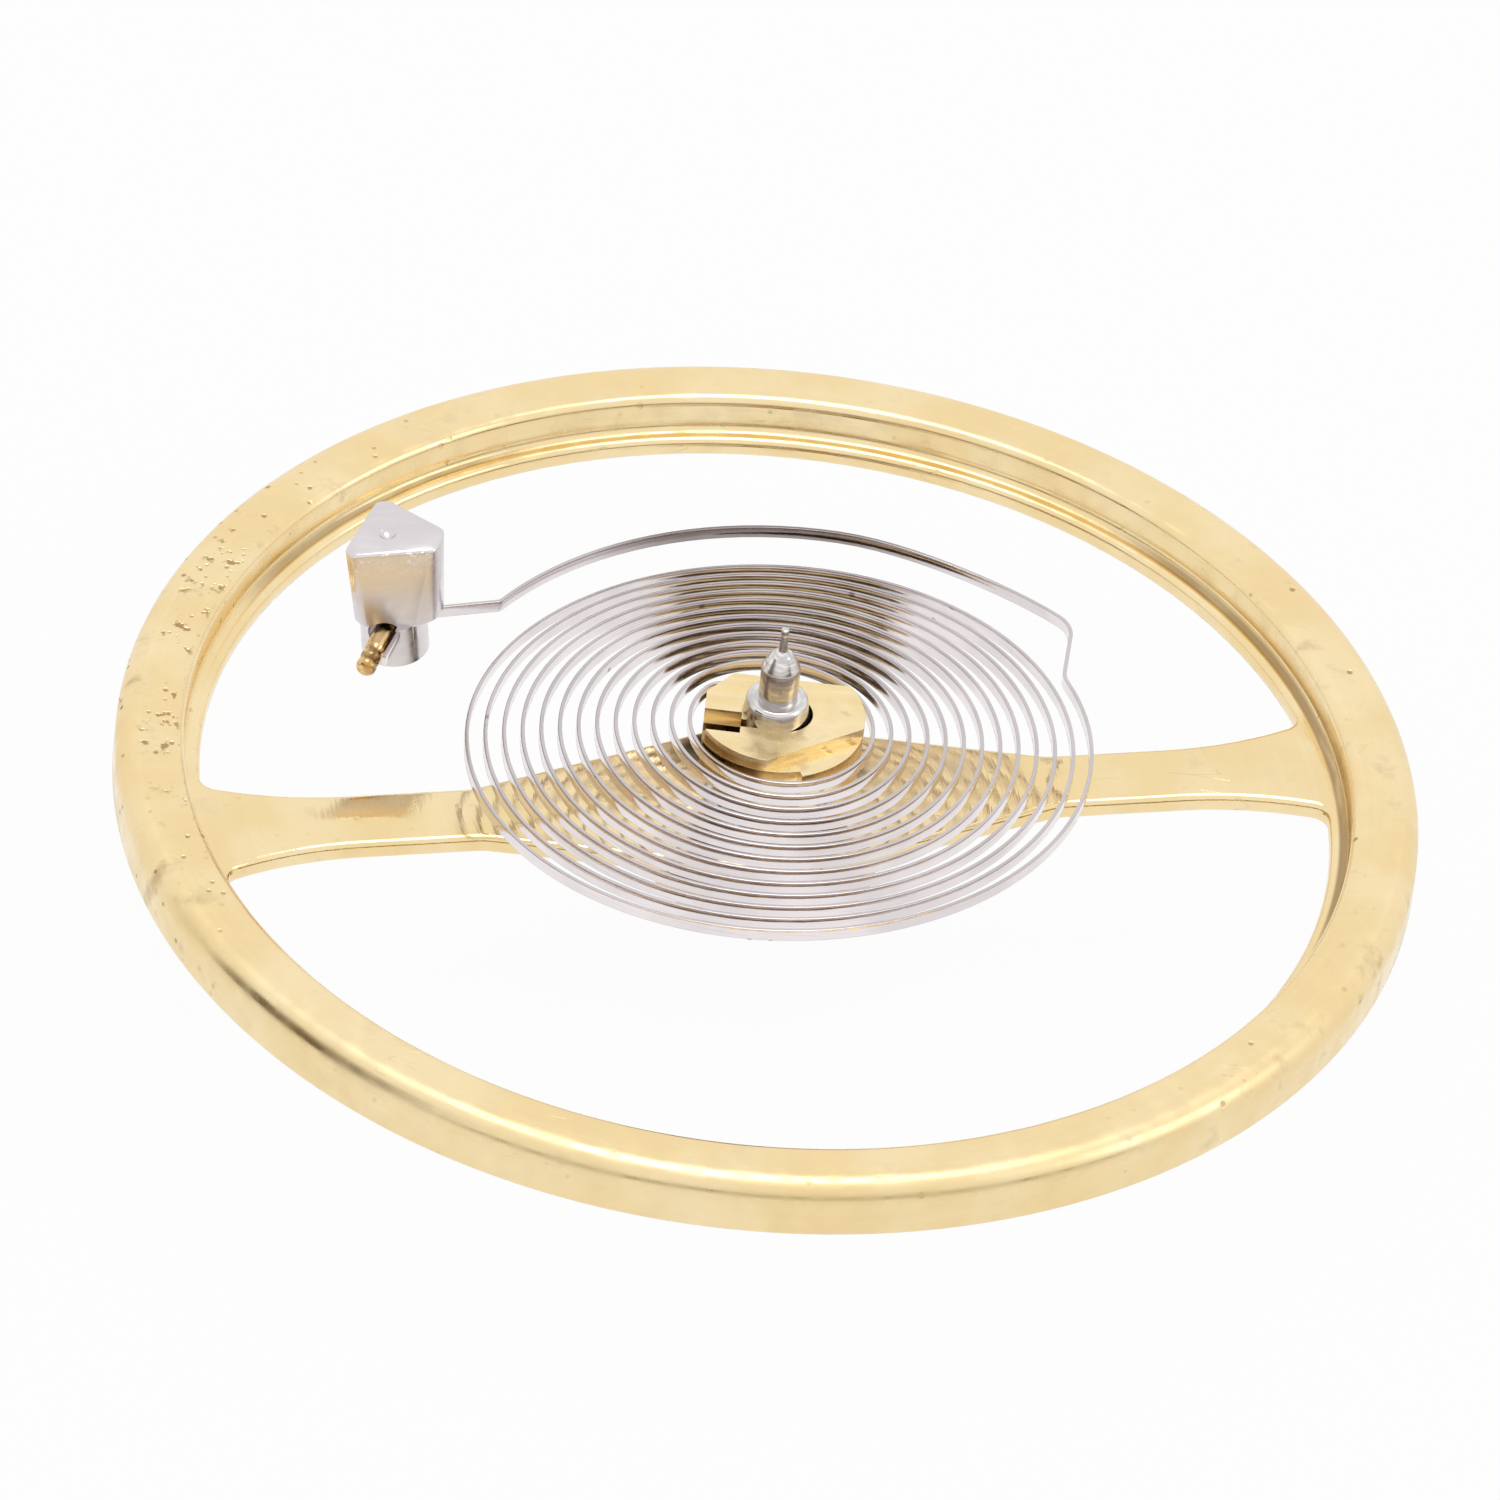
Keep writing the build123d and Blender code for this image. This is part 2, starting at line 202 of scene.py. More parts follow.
def finishPiece(bm, name, material, edgeRound=0.0):
    bm.transform(Matrix.Scale(mm, 4))
    mesh = bpy.data.meshes.new(name)
    bm.to_mesh(mesh)
    bm.free()
    mesh.shade_smooth()
    mesh.materials.append(material)
    piece = bpy.data.objects.new(name, mesh)
    bpy.context.scene.collection.objects.link(piece)
    sharpAngle = edgeForm["sharpAbove"]
    if edgeRound:
        soften = piece.modifiers.new("edges", "BEVEL")
        soften.width = edgeRound * mm
        soften.segments = edgeForm["segments"]
        soften.limit_method = "ANGLE"
        soften.angle_limit = math.radians(edgeForm["bevelAbove"])
        soften.use_clamp_overlap = True
        sharpAngle = edgeForm["sharpAboveBevelled"]
    mesh.set_sharp_from_angle(angle=math.radians(sharpAngle))
    even = piece.modifiers.new("normals", "WEIGHTED_NORMAL")
    even.keep_sharp = True
    return piece


def standFor(piece, node, body):
    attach(piece, body)
    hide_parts(node)


# Finishes: patterns read the piece's Object coordinates, in millimetres

evenGrain = (1, 1, 1.01)  # nearly even, so that a noise isn't drawn out along any direction


class Finish:
    def __init__(self, name):
        self.material = bpy.data.materials.new(name)
        self.material.use_nodes = True
        self.tree = self.material.node_tree
        self.shader = self.tree.nodes["Principled BSDF"]
        metres = self.add("TexCoord", {}, "Object")
        self.spot = self.add("VectorMath", {0: metres, "Scale": 1 / mm}, operation="SCALE")
        x, y, self.z = self.add("SeparateXYZ", {0: self.spot}).node.outputs
        flat = self.add("CombineXYZ", {0: x, 1: y})
        self.radius = self.add("VectorMath", {0: flat}, "Value", operation="LENGTH")
        self.way = self.add("VectorMath", {0: flat}, operation="NORMALIZE")
        self.relief = None

    def add(self, kind, inputs, output=0, **settings):
        node = self.tree.nodes.new("ShaderNode" + kind)
        for name, value in settings.items():
            setattr(node, name, value)
        for place, value in inputs.items():
            if isinstance(value, bpy.types.NodeSocket):
                self.tree.links.new(value, node.inputs[place])
            else:
                node.inputs[place].default_value = value
        return node.outputs[output]

    def calc(self, operation, one, two=0.0):
        return self.add("Math", {0: one, 1: two}, operation=operation)

    def plus(self, one, two):
        return self.calc("ADD", one, two)

    def minus(self, one, two):
        return self.calc("SUBTRACT", one, two)

    def times(self, one, two):
        return self.calc("MULTIPLY", one, two)

    def most(self, one, two):
        return self.calc("MAXIMUM", one, two)

    def step(self, value, low, high, toLow=0.0, toHigh=1.0):
        inputs = {"Value": value, "From Min": low, "From Max": high, "To Min": toLow, "To Max": toHigh}
        return self.add("MapRange", inputs, interpolation_type="SMOOTHSTEP")

    def band(self, value, low, high, soft):
        # 1 between low and high, fading over soft on both sides
        rise = self.step(value, low - soft, low)
        return self.times(rise, self.step(value, high, high + soft, 1.0, 0.0))

    def azimuth(self, middle, half, soft):
        # 1 near one azimuth round the staff, in degrees
        inputs = {0: self.way, 1: polar(1, middle)}
        ahead = self.add("VectorMath", inputs, "Value", operation="DOT_PRODUCT")
        return self.step(ahead, math.cos(math.radians(half + soft)), math.cos(math.radians(half)))

    def facing(self):
        # the three parts of the surface's direction
        normal = self.add("TexCoord", {}, "Normal")
        return self.add("SeparateXYZ", {0: normal}).node.outputs

    def noise(self, scale, detail=2.0, stretch=(1, 1, 1), turn=0.0, rough=0.5):
        place = self.spot
        if stretch != (1, 1, 1):
            inputs = {0: place, "Rotation": (0, 0, math.radians(turn)), "Scale": stretch}
            place = self.add("Mapping", inputs)
        return self.add("TexNoise", {"Vector": place, "Scale": scale, "Detail": detail, "Roughness": rough})

    def rings(self, across, around, detail=2.0):
        # fine lines that run round the staff, as turning leaves them
        rise = self.add("CombineXYZ", {2: self.times(self.z, across)})
        way = self.add("VectorMath", {0: self.way, "Scale": around}, operation="SCALE")
        place = self.add("VectorMath", {0: rise, 1: way}, operation="ADD")
        inputs = {"Vector": place, "W": self.times(self.radius, across), "Scale": 1.0, "Detail": detail}
        return self.add("TexNoise", inputs, noise_dimensions="4D")

    def scratches(self, scale, turn, width, cover):
        # thin lines along one direction, broken up by a coarse pattern
        lines = self.noise(scale, 1.0, (0.12, 1, 1), turn)
        line = self.step(self.calc("ABSOLUTE", self.minus(lines, 0.5)), 0.0, width, 1.0, 0.0)
        return self.times(line, self.step(self.noise(1.7, 2.0, evenGrain, turn), cover, cover + 0.08))

    def pits(self, scale, size, share):
        # scattered small marks, on the given share of the cells
        cell = self.add("TexVoronoi", {"Vector": self.spot, "Scale": scale}).node
        chosen = self.add("SeparateColor", {0: cell.outputs["Color"]})
        mark = self.step(cell.outputs["Distance"], size * 0.4, size, 1.0, 0.0)
        return self.times(mark, self.step(chosen, share, share + 0.02, 1.0, 0.0))

    def mix(self, share, under, over):
        node = self.add("Mix", {0: share}, 2, data_type="RGBA").node
        for place, value in ((6, under), (7, over)):
            if isinstance(value, bpy.types.NodeSocket):
                self.tree.links.new(value, node.inputs[place])
            else:
                node.inputs[place].default_value = (*value, 1)
        return node.outputs[2]

    def coat(self, under, mask, strength, over):
        return self.mix(self.times(mask, strength), under, over)

    def bump(self, height, depth):
        # depth in millimetres
        inputs = {"Height": height, "Distance": depth * mm}
        if self.relief:
            inputs["Normal"] = self.relief
        self.relief = self.add("Bump", inputs)

    def done(self, colour, roughness, metallic=1.0):
        self.tree.links.new(colour, self.shader.inputs["Base Color"])
        self.tree.links.new(roughness, self.shader.inputs["Roughness"])
        self.tree.links.new(self.relief, self.shader.inputs["Normal"])
        self.shader.inputs["Metallic"].default_value = metallic
        return self.material


giltTone = {
    "pale": (0.92, 0.75, 0.45), "deep": (0.88, 0.68, 0.36), "worn": (0.97, 0.86, 0.60),
    # the darkest tone is painted shade, for the back of the boss
    "stain": (0.36, 0.21, 0.07), "cornerDarkening": (0.22, 0.11, 0.03), "bossShade": (0.035, 0.024, 0.014),
}

rimMarks = {
    # middle, half width and fade in degrees round the staff
    "left": (172, 26, 30), "right": (2, 26, 30), "chipSide": (174, 16, 12), "cornerDarkRight": (20, 26, 14),
    "cornerDarkLeft": (138, 12, 12), "bossShadeSide": (92, 48, 26),
    # distances from the staff: low and high, and the fade of a band
    "boss": (0.8, 0.95), "web": (4.3, 4.4), "rim": (4.42, 4.5), "corner": (4.42, 4.49, 0.03),
    "flatTop": (4.55, 4.8, 0.05), "outerEdge": (4.8, 4.88),
    "cornerLevel": (1.3, 1.455, 0.035), "edgeLevel": (rimTop - 0.22, rimTop - 0.1),
    # strengths
    "pits": 0.75, "chips": 0.8, "cornerDarkening": 0.7, "scratches": 0.18,
    "roughLow": 0.14, "roughHigh": 0.3, "webPolish": 0.11, "edgeRough": 0.12,
}


def rimGilt(tone, marks):
    gilt = Finish("polishedGilt")
    cloud = gilt.step(gilt.noise(1.3, 3.0), 0.35, 0.68)
    colour = gilt.mix(cloud, tone["deep"], tone["pale"])
    lines = gilt.rings(26, 2.2, 2.0)
    colour = gilt.mix(gilt.step(lines, 0.45, 0.85, 0.0, 0.16), colour, tone["worn"])
    # stains and pits: most at the left of the rim, some at the right
    left, right = gilt.azimuth(*marks["left"]), gilt.azimuth(*marks["right"])
    place = gilt.most(left, right)
    stain = gilt.step(gilt.noise(2.6, 4.0, evenGrain, 0, 0.6), 0.56, 0.74)
    stain = gilt.times(stain, gilt.step(place, 0, 1, 0.1, 0.4))
    stain = gilt.times(stain, gilt.step(gilt.radius, *marks["rim"], 0.3, 1))
    colour = gilt.mix(stain, colour, tone["stain"])
    leftPits = gilt.times(gilt.pits(9, 0.26, 0.30), left)
    rightPits = gilt.times(gilt.pits(6, 0.2, 0.16), gilt.step(right, 0, 1, 0.25, 1))
    pits = gilt.most(leftPits, rightPits)
    pits = gilt.times(pits, gilt.step(gilt.radius, *marks["rim"], 0.12, 1))
    colour = gilt.coat(colour, pits, marks["pits"], tone["stain"])
    # clusters of worn chips on the left of the rim
    chips = gilt.step(gilt.noise(9, 2.0, evenGrain, 0, 0.6), 0.55, 0.64)
    cluster = gilt.step(gilt.noise(1.9, 1.0), 0.4, 0.52)
    flat = gilt.times(gilt.azimuth(*marks["chipSide"]), gilt.band(gilt.radius, *marks["flatTop"]))
    chips = gilt.times(chips, gilt.times(flat, cluster))
    colour = gilt.coat(colour, chips, marks["chips"], tone["stain"])
    # darker in the corner between the wall and the ledge, in patches, at the right and the back left
    corner = gilt.times(gilt.band(gilt.radius, *marks["corner"]), gilt.band(gilt.z, *marks["cornerLevel"]))
    where = gilt.most(gilt.azimuth(*marks["cornerDarkRight"]), gilt.times(gilt.azimuth(*marks["cornerDarkLeft"]), 0.8))
    patchy = gilt.step(gilt.rings(5, 4, 3.0), 0.25, 0.48, 0.25, 1.0)
    cornerDarkening = gilt.times(gilt.times(corner, where), patchy)
    colour = gilt.coat(colour, cornerDarkening, marks["cornerDarkening"], tone["cornerDarkening"])
    scratch = gilt.most(gilt.scratches(5, 14, 0.008, 0.6), gilt.scratches(4, 98, 0.006, 0.62))
    colour = gilt.coat(colour, scratch, marks["scratches"], tone["stain"])
    # painted shade: the back of the boss round the staff, shaded under the coils, is painted black with
    # gold specks
    bossShade = gilt.times(gilt.step(gilt.radius, *marks["boss"], 0.95, 0.0), gilt.azimuth(*marks["bossShadeSide"]))
    bossShade = gilt.times(bossShade, gilt.step(gilt.noise(6, 2.0), 0.6, 0.66, 1.0, 0.35))
    colour = gilt.mix(bossShade, colour, tone["bossShade"])
    # the web is smoother than the rim, and the rim's outer rounding is duller
    rough = gilt.step(gilt.noise(5, 3.0), 0.3, 0.7, marks["roughLow"], marks["roughHigh"])
    rough = gilt.plus(rough, gilt.times(gilt.most(stain, pits), 0.3))
    web = gilt.step(gilt.radius, *marks["web"], 1.0, 0.0)
    rough = gilt.minus(rough, gilt.times(web, marks["webPolish"]))
    outer = gilt.times(gilt.step(gilt.radius, *marks["outerEdge"]), gilt.step(gilt.z, *marks["edgeLevel"]))
    rough = gilt.plus(rough, gilt.times(outer, marks["edgeRough"]))
    gilt.bump(gilt.noise(1.1, 2.0), 0.012)
    gilt.bump(lines, 0.0012)
    worn = gilt.most(gilt.most(pits, chips), gilt.times(scratch, 0.15))
    gilt.bump(gilt.minus(1.0, worn), 0.005)
    return gilt.done(colour, rough)


colletMarks = {
    # the wall marks place painted shade on the wall under the plate
    "shadedWallLevel": (plateTop - 0.06, plateTop - 0.01), "shadedWallSide": (228, 30, 10), "wall": 0.9,
    "stain": 0.3, "pits": 0.6, "roughLow": 0.2, "roughHigh": 0.36,
}


def colletGilt(tone, marks):
    gilt = Finish("satinGilt")
    colour = gilt.mix(gilt.step(gilt.noise(2.6, 3.0), 0.35, 0.68), tone["deep"], tone["pale"])
    brushed = gilt.noise(14, 2.0, (0.08, 1, 1), 22)
    colour = gilt.mix(gilt.step(brushed, 0.45, 0.8, 0.0, 0.4), colour, tone["worn"])
    pits = gilt.pits(5, 0.2, 0.3)
    stain = gilt.step(gilt.noise(5.2, 3.0), 0.6, 0.75)
    # painted shade: the wall under the plate is painted darker at the front left, where it lies in shadow
    wall = gilt.times(gilt.step(gilt.z, *marks["shadedWallLevel"], marks["wall"], 0.0),
                      gilt.azimuth(*marks["shadedWallSide"]))
    spoiled = gilt.most(gilt.times(stain, marks["stain"]), gilt.times(pits, marks["pits"]))
    colour = gilt.mix(spoiled, colour, tone["stain"])
    cover = gilt.step(gilt.noise(3.1, 3.0), 0.3, 0.6, 0.7)
    colour = gilt.coat(colour, wall, cover, tone["stain"])
    rough = gilt.step(gilt.noise(8, 2.0), 0.3, 0.7, marks["roughLow"], marks["roughHigh"])
    gilt.bump(gilt.noise(2.4, 2.0), 0.008)
    gilt.bump(brushed, 0.0012)
    gilt.bump(gilt.minus(1.0, pits), 0.003)
    return gilt.done(colour, rough)


def rollerGilt(tone):
    gilt = Finish("agedAndShadedGilt")
    # partly painted shade: brown mottling darkens the rollers for the shade under the wheel, seen in the
    # coils
    colour = gilt.mix(gilt.step(gilt.noise(2.2, 3.0), 0.3, 0.7, 0.05, 0.4), tone["deep"], tone["stain"])
    colour = gilt.mix(gilt.step(gilt.rings(22, 1.5), 0.5, 0.8, 0.0, 0.5), colour, tone["pale"])
    rough = gilt.step(gilt.noise(6, 2.0), 0.3, 0.7, 0.22, 0.42)
    gilt.bump(gilt.rings(30, 1.5), 0.002)
    return gilt.done(colour, rough)


steelTone = {"bright": (0.84, 0.82, 0.81), "grey": (0.58, 0.56, 0.55), "brown": (0.27, 0.19, 0.12)}
staffMarks = {
    # levels: low and high, and the fade of a band
    "spindle": (2.46, 2.68, 0.03), "lowerSeat": (2.2, 2.34, 0.05), "hub": (1.3, 1.5),
    # the second strength also paints a reflection on the seat, and the third is painted shade on the hub
    "film": 0.25, "spindleFilmAndSeatReflection": 0.35, "hubShade": 0.75,
}


def staffSteel(tone, marks):
    steel = Finish("brightSteel")
    lines = steel.rings(34, 1.2, 2.0)
    colour = steel.mix(steel.step(lines, 0.35, 0.7), tone["grey"], tone["bright"])
    film = steel.times(steel.step(steel.noise(3.2, 3.0), 0.5, 0.75), marks["film"])
    # a brown film on the spindle; painted reflection: the seat's lower part is browned for the gilt collet
    # it mirrors
    spindle = steel.most(steel.band(steel.z, *marks["spindle"]), steel.band(steel.z, *marks["lowerSeat"]))
    # painted shade: the hub under the wheel is painted darker than the ends
    hub = steel.step(steel.z, *marks["hub"], marks["hubShade"], 0.0)
    film = steel.most(film, steel.most(steel.times(spindle, marks["spindleFilmAndSeatReflection"]), hub))
    colour = steel.mix(film, colour, tone["brown"])
    rough = steel.step(steel.noise(7, 2.0), 0.3, 0.7, 0.12, 0.24)
    steel.bump(steel.noise(4, 2.0), 0.0015)
    steel.bump(lines, 0.0009)
    return steel.done(colour, rough)


springTone = {
    # the edge tone serves the drawn lines and the painted shade on the strip's edges
    "face": (0.86, 0.80, 0.805), "dull": (0.75, 0.695, 0.70), "edge": (0.31, 0.28, 0.285),
    # the film tone is a painted reflection on the terminal curve
    "speck": (0.16, 0.12, 0.11), "film": (0.16, 0.125, 0.11),
}
springMarks = {
    # the edge strengths set painted shade on the strip's edges
    "darkBackFrom": (2.45, 2.55), "darkBackSide": (96, 10, 26), "film": 0.75, "edge": 0.8, "flatEdgeShade": 0.5,
    "specks": 0.7, "edgeRough": 0.25,
}


def drawnSpring(tone, marks):
    alloy = Finish("springAlloy")
    colour = alloy.mix(alloy.step(alloy.noise(1.6, 3.0), 0.35, 0.68), tone["dull"], tone["face"])
    drawn = alloy.rings(70, 0.8, 2.0)
    colour = alloy.mix(alloy.step(drawn, 0.5, 0.85, 0.0, 0.25), colour, tone["edge"])
    # painted shade: the strip's drawn corners are painted dark and made rougher, and its flat edges less
    # dark
    level = alloy.calc("ABSOLUTE", alloy.facing()[2])
    corner = alloy.band(level, 0.3, 0.85, 0.12)
    edge = alloy.most(corner, alloy.step(level, 0.5, 0.8, 0.0, marks["flatEdgeShade"]))
    colour = alloy.coat(colour, edge, marks["edge"], tone["edge"])
    # painted reflection: the back of the terminal curve is painted dark brown, for the dark underside it
    # mirrors
    film = alloy.times(alloy.step(alloy.radius, *marks["darkBackFrom"]), alloy.azimuth(*marks["darkBackSide"]))
    colour = alloy.coat(colour, film, marks["film"], tone["film"])
    specks = alloy.pits(4.5, 0.16, 0.14)
    colour = alloy.coat(colour, specks, marks["specks"], tone["speck"])
    rough = alloy.step(alloy.noise(6, 2.0), 0.3, 0.7, 0.09, 0.15)
    rough = alloy.plus(rough, alloy.times(edge, marks["edgeRough"]))
    alloy.bump(drawn, 0.0004)
    alloy.bump(alloy.noise(2.2, 2.0), 0.003)
    return alloy.done(colour, rough)


studTone = {
    "face": (0.75, 0.71, 0.72), "dull": (0.69, 0.65, 0.66), "worn": (0.95, 0.93, 0.93),
    # the stain tone is the warm gold of a painted reflection of the wheel
    "stain": (0.86, 0.70, 0.48),
}
studMarks = {
    # heights along the leaning head: low and high
    "reflectionFront": (2.6, 2.95), "reflectionLeft": (2.75, 2.85), "ragged": (2.86, 3.05),
    "frontRough": 0.14,
}
studLean = {"angle": 8, "azimuth": 199, "pivot": -0.15}  # the pivot lies below the level of the spring


def milledSteel(tone, marks):
    steel = Finish("studSteel")
    colour = steel.mix(steel.step(steel.noise(2.2, 3.0), 0.35, 0.68), tone["dull"], tone["face"])
    grain = steel.noise(16, 2.0, (0.25, 1, 1), 20)
    colour = steel.mix(steel.step(grain, 0.5, 0.8, 0.0, 0.15), colour, tone["worn"])
    # painted reflection: the head's upper front and left take the wheel's warm gold, ragged and bright near
    # the top
    lean = math.radians(studLean["angle"])
    upHead = polar(math.sin(lean), studLean["azimuth"], math.cos(lean))
    height = steel.add("VectorMath", {0: steel.spot, 1: upHead}, "Value", operation="DOT_PRODUCT")
    facing = steel.facing()
    front = steel.step(facing[1], -0.9, -0.7, 1.0, 0.0)
    left = steel.times(steel.step(facing[0], -0.9, -0.75, 1.0, 0.0), steel.step(height, *marks["reflectionLeft"]))
    goldReflection = steel.most(steel.times(front, steel.step(height, *marks["reflectionFront"], 0.1, 0.7)), left)
    colour = steel.mix(goldReflection, colour, tone["stain"])
    ragged = steel.step(steel.noise(24, 3.0), 0.54, 0.62)
    rim = steel.times(steel.times(ragged, goldReflection), steel.step(height, *marks["ragged"], 0.15, 0.9))
    colour = steel.mix(rim, colour, tone["worn"])
    rough = steel.step(steel.noise(9, 3.0), 0.3, 0.7, 0.16, 0.26)
    rough = steel.plus(rough, steel.times(front, marks["frontRough"]))
    steel.bump(steel.noise(3, 2.0), 0.006)
    steel.bump(grain, 0.0006)
    steel.bump(rim, 0.006)
    return steel.done(colour, rough)


pinTone = {"bright": (0.92, 0.70, 0.38), "deep": (0.58, 0.35, 0.14), "dark": (0.15, 0.075, 0.03)}


def drawnBrass(tone):
    brass = Finish("pinBrass")
    grain = brass.noise(12, 3.0, (1, 0.15, 1), 15)
    colour = brass.mix(brass.step(grain, 0.35, 0.65), tone["deep"], tone["bright"])
    colour = brass.coat(colour, brass.step(brass.noise(7, 3.0), 0.5, 0.7), 0.75, tone["dark"])
    rough = brass.step(brass.noise(11, 2.0), 0.3, 0.7, 0.14, 0.34)
    brass.bump(grain, 0.002)
    brass.bump(brass.noise(10, 2.0), 0.004)
    return brass.done(colour, rough)


rubyTone = {"clear": (0.62, 0.035, 0.10), "deep": (0.36, 0.01, 0.045), "bending": 1.77, "clearness": 0.5}


def polishedRuby(tone):
    jewel = Finish("ruby")
    colour = jewel.mix(jewel.step(jewel.noise(4, 2.0), 0.3, 0.7), tone["deep"], tone["clear"])
    rough = jewel.step(jewel.noise(9, 2.0), 0.3, 0.7, 0.04, 0.12)
    jewel.bump(jewel.noise(14, 2.0), 0.0006)
    jewel.shader.inputs["IOR"].default_value = tone["bending"]
    jewel.shader.inputs["Transmission Weight"].default_value = tone["clearness"]
    return jewel.done(colour, rough, 0.0)


polishedGilt, satinGilt = rimGilt(giltTone, rimMarks), colletGilt(giltTone, colletMarks)
agedAndShadedGilt, brightSteel = rollerGilt(giltTone), staffSteel(steelTone, staffMarks)
springAlloy, studSteel = drawnSpring(springTone, springMarks), milledSteel(studTone, studMarks)
pinBrass, ruby = drawnBrass(pinTone), polishedRuby(rubyTone)
print("made the finishes")


# Wheel: a web with two windows, and the rim spun round it

wheelForm = {
    "outerRadius": 5.0, "wallRadius": 4.48, "ledgeRadius": 4.338, "joinRadius": 4.405,
    "webThickness": 0.16, "topRound": 0.18, "innerBevel": 0.08, "ledgeFillet": 0.07, "bottomRound": 0.03,
    "armAzimuth": 15.6, "armWidth": 0.61, "armWaist": 2.25, "waistRound": 0.4, "flareStart": 3.2,
    "flareRadius": 3.0, "rootFillet": 0.15, "bossRadius": 0.886, "seatRadius": 0.44, "edgeRound": 0.055,
    "edgeSegments": 3, "roundSteps": 320, "seatSteps": 128,
}
webTop = webBase + wheelForm["webThickness"]


def windowQuarter(bm, form):
    # from the top of the boss along the arm's flank, round the root and back along the ledge
    half = form["armWidth"] / 2
    boss, waist, ledge, root = form["bossRadius"], form["armWaist"], form["ledgeRadius"], form["rootFillet"]
    slope = 90 - math.degrees(math.atan2(half, waist) + math.acos(boss / math.hypot(waist, half)))
    soften = form["waistRound"] * math.tan(math.radians(slope / 2))
    flank = math.sqrt(waist ** 2 + half ** 2 - boss ** 2) - soften
    centre = Vector((form["flareStart"], half + form["flareRadius"]))
    toFlare, toLedge = form["flareRadius"] - root, ledge - root
    reach = (toLedge ** 2 - toFlare ** 2 + centre.length_squared) / (2 * centre.length)
    azimuth = math.degrees(math.atan2(centre.y, centre.x) - math.acos(reach / toLedge))
    corner = polar(toLedge, azimuth).xy - centre
    flare = math.degrees(math.atan2(corner.x, -corner.y))
    trace(bm, (0, boss, 0), 0, [
        (boss, -slope), (flank, 0), (form["waistRound"], slope),
        (form["flareStart"] - waist - soften, 0), (form["flareRadius"], flare),
        (root, 90 + azimuth - flare), (ledge, 90 - azimuth),
    ])


def makeWheel():
    form = wheelForm
    join, wall, outer = form["joinRadius"], form["wallRadius"], form["outerRadius"]
    inside, outside = form["seatRadius"] + slack, join - slack
    bm = bmesh.new()
    windowQuarter(bm, form)
    for axis in ("X", "Y"):
        bmesh.ops.mirror(bm, geom=bm.verts[:] + bm.edges[:], axis=axis, merge_dist=joined)
    bmesh.ops.rotate(bm, verts=bm.verts, cent=(0, 0, 0), matrix=turnAbout(form["armAzimuth"]))
    bmesh.ops.create_circle(bm, segments=form["roundSteps"], radius=join)
    bmesh.ops.create_circle(bm, segments=form["seatSteps"], radius=form["seatRadius"])
    bmesh.ops.triangle_fill(bm, use_beauty=True, use_dissolve=False, edges=bm.edges, normal=(0, 0, 1))
    bmesh.ops.translate(bm, verts=bm.verts, vec=(0, 0, webBase))
    raiseFaces(bm, bm.faces[:], form["webThickness"])
    windows = [e for e in bm.edges if e.calc_face_angle(0) > realCorner
               and inside < e.verts[0].co.xy.length < outside]
    # the web's outer wall lies inside the rim, so it goes
    hidden = [f for f in bm.faces if abs(f.normal.z) < 0.5 and f.verts[0].co.xy.length > outside]
    bmesh.ops.delete(bm, geom=hidden, context="FACES_ONLY")
    bevelEdges(bm, windows, form["edgeRound"], form["edgeSegments"])
    section = [(join, webTop), (wall, webTop), (wall, rimTop), (outer, rimTop), (outer, webBase),
               (join, webBase)]
    rounds = {1: form["ledgeFillet"], 2: form["innerBevel"], 3: form["topRound"], 4: form["bottomRound"]}
    lathe(bm, section, rounds, form["roundSteps"], closed=False)
    standFor(finishPiece(bm, "giltWheel", polishedGilt), "balance_wheel", "balance")


makeWheel()
print("made the wheel")


# Staff

staffForm = {
    "pivot": 0.035, "pivotWaist": 0.024, "knob": 0.03, "knobLength": 0.045, "waistDrop": 0.072,
    "pivotLength": 0.21, "pivotShort": 0.03, "root": 0.08, "rootLength": 0.03, "coneLength": 0.125,
    "arbor": 0.2, "hub": 0.62, "seat": 0.44, "rivet": 0.5, "rivetHeight": 0.05, "rest": 0.4,
    "restLength": 0.15, "colletSeat": 0.255, "seatAbove": 0.155, "seatTop": 0.235, "spindle": 0.15,
    "spindleLength": 0.292, "fine": 0.012, "hubRound": 0.05, "rivetRound": 0.015,
    "seatRound": 0.035, "roundSteps": 128,
}


def makeStaff():
    form = staffForm
    bm = bmesh.new()
    restBase = webTop + form["rivetHeight"]
    restTop = restBase + form["restLength"]
    seatTop = plateTop + form["seatAbove"]
    spindleTop = seatTop + form["spindleLength"]
    rootHigh = staffHigh - form["pivotLength"]
    rootLow = form["pivotLength"] + form["rootLength"]
    profile = [
        (0, form["pivotShort"]), (form["pivot"], form["pivotShort"]), (form["pivot"], form["pivotLength"]),
        (form["root"], rootLow), (form["arbor"], rootLow + form["coneLength"]), (form["arbor"], hubBase),
        (form["hub"], hubBase), (form["hub"], webBase), (form["seat"], webBase), (form["seat"], webTop),
        (form["rivet"], webTop), (form["seat"], restBase), (form["rest"], restBase),
        (form["rest"], restTop), (form["colletSeat"], restTop), (form["colletSeat"], plateTop),
        (form["seatTop"], seatTop), (form["spindle"], seatTop), (form["spindle"], spindleTop),
        (form["root"], rootHigh - form["rootLength"]), (form["pivot"], rootHigh),
        (form["pivotWaist"], staffHigh - form["waistDrop"]),
        (form["knob"], staffHigh - form["knobLength"]), (form["knob"], staffHigh), (0, staffHigh),
    ]
    rounds = dict.fromkeys((1, 4, 6, 10, 13, 16, 18, 19, 22, 23), form["fine"])
    rounds.update({6: form["hubRound"], 10: form["rivetRound"], 16: form["seatRound"]})
    lathe(bm, profile, rounds, form["roundSteps"])
    standFor(finishPiece(bm, "turnedStaff", brightSteel), "balance_staff", "balance")


makeStaff()
print("made the staff")


